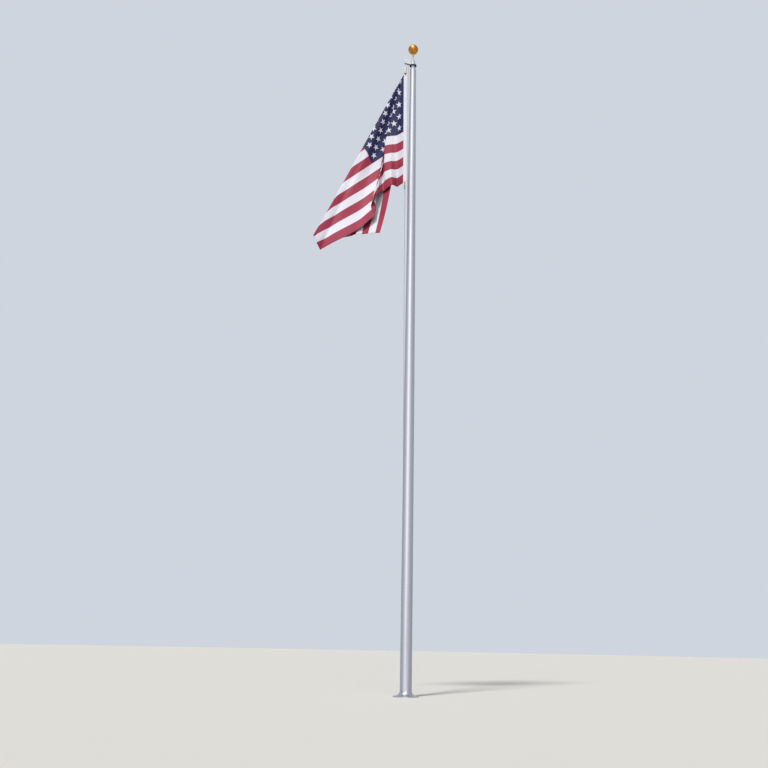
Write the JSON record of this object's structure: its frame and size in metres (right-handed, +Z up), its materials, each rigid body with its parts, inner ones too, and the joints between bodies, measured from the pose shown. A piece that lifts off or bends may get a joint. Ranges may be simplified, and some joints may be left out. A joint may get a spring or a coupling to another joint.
{
  "type": "flagpole",
  "caption": "Ground-set tapered aluminium flagpole with a revolving truck, ball finial, outside halyard, cleat and a hanging striped flag",
  "frame": {"origin": "on the pole's axis, on the flat lower end of the shaft at ground level", "axes": "+Z up along the pole, -X towards the halyard arm and the flag, +Y towards the cleat"},
  "size_m": [1.3538, 0.7303, 7.9841],
  "materials": {
    "shaft_aluminium": "satin ground finish along the tube",
    "collar_aluminium": "spun, satin",
    "cast_aluminium": "sand cast, brushed and lacquered",
    "gold_anodised": "spun ball, gold anodised",
    "rod_steel": "turned, bright",
    "sheave_nylon": "turned nylon",
    "snap_bronze": "cast bronze, worn",
    "grommet_brass": "rolled rim brass",
    "halyard_rope": "braided polyester",
    "heading_canvas": "doubled duck canvas",
    "flag_nylon": "sewn nylon stripes and an embroidered canton",
    "cover_vinyl": "dipped soft vinyl"
  },
  "bodies": {
    "pole": {"pole_shaft": "shaft_aluminium", "flash_collar": "collar_aluminium", "truck_spindle": "rod_steel", "truck_bearing": "rod_steel", "cleat": "cast_aluminium", "halyard_turns": "halyard_rope"},
    "truck": {"truck_casting": "cast_aluminium", "sheave_pin": "rod_steel", "sheave_pin_nut": "rod_steel", "finial_rod": "rod_steel", "finial_jam_nut": "rod_steel", "finial_ball": "gold_anodised", "halyard_falls": "halyard_rope"},
    "sheave": {"sheave": "sheave_nylon", "sheave_bushing": "rod_steel"},
    "flag": {"flag_heading": "heading_canvas", "flag_cloth": "flag_nylon", "upper_grommet": "grommet_brass", "lower_grommet": "grommet_brass", "upper_snap_body": "snap_bronze", "lower_snap_body": "snap_bronze", "upper_snap_gate": "snap_bronze", "lower_snap_gate": "snap_bronze", "upper_snap_eye": "snap_bronze", "lower_snap_eye": "snap_bronze", "upper_rope_loop": "halyard_rope", "lower_rope_loop": "halyard_rope", "upper_snap_cover": "cover_vinyl"}
  },
  "joints": [
    {"name": "truck_turn", "type": "hinge", "parent": "pole", "child": "truck", "pos_m": [0, 0, 7.6281], "axis": [0, 0, 1], "continuous": true},
    {"name": "flag_hoist", "type": "slide", "parent": "truck", "child": "flag", "axis": [-0.0081, -0.0161, 0.9998], "range_m": [-4.3, 0]},
    {"name": "sheave_turn", "type": "hinge", "parent": "truck", "child": "sheave", "pos_m": [-0.081, 0, 7.7411], "axis": [0, 1, 0], "continuous": true}
  ],
  "couplings": [
    {"joint": "sheave_turn", "follows": "flag_hoist", "rad_per_m": 52.632}
  ]
}
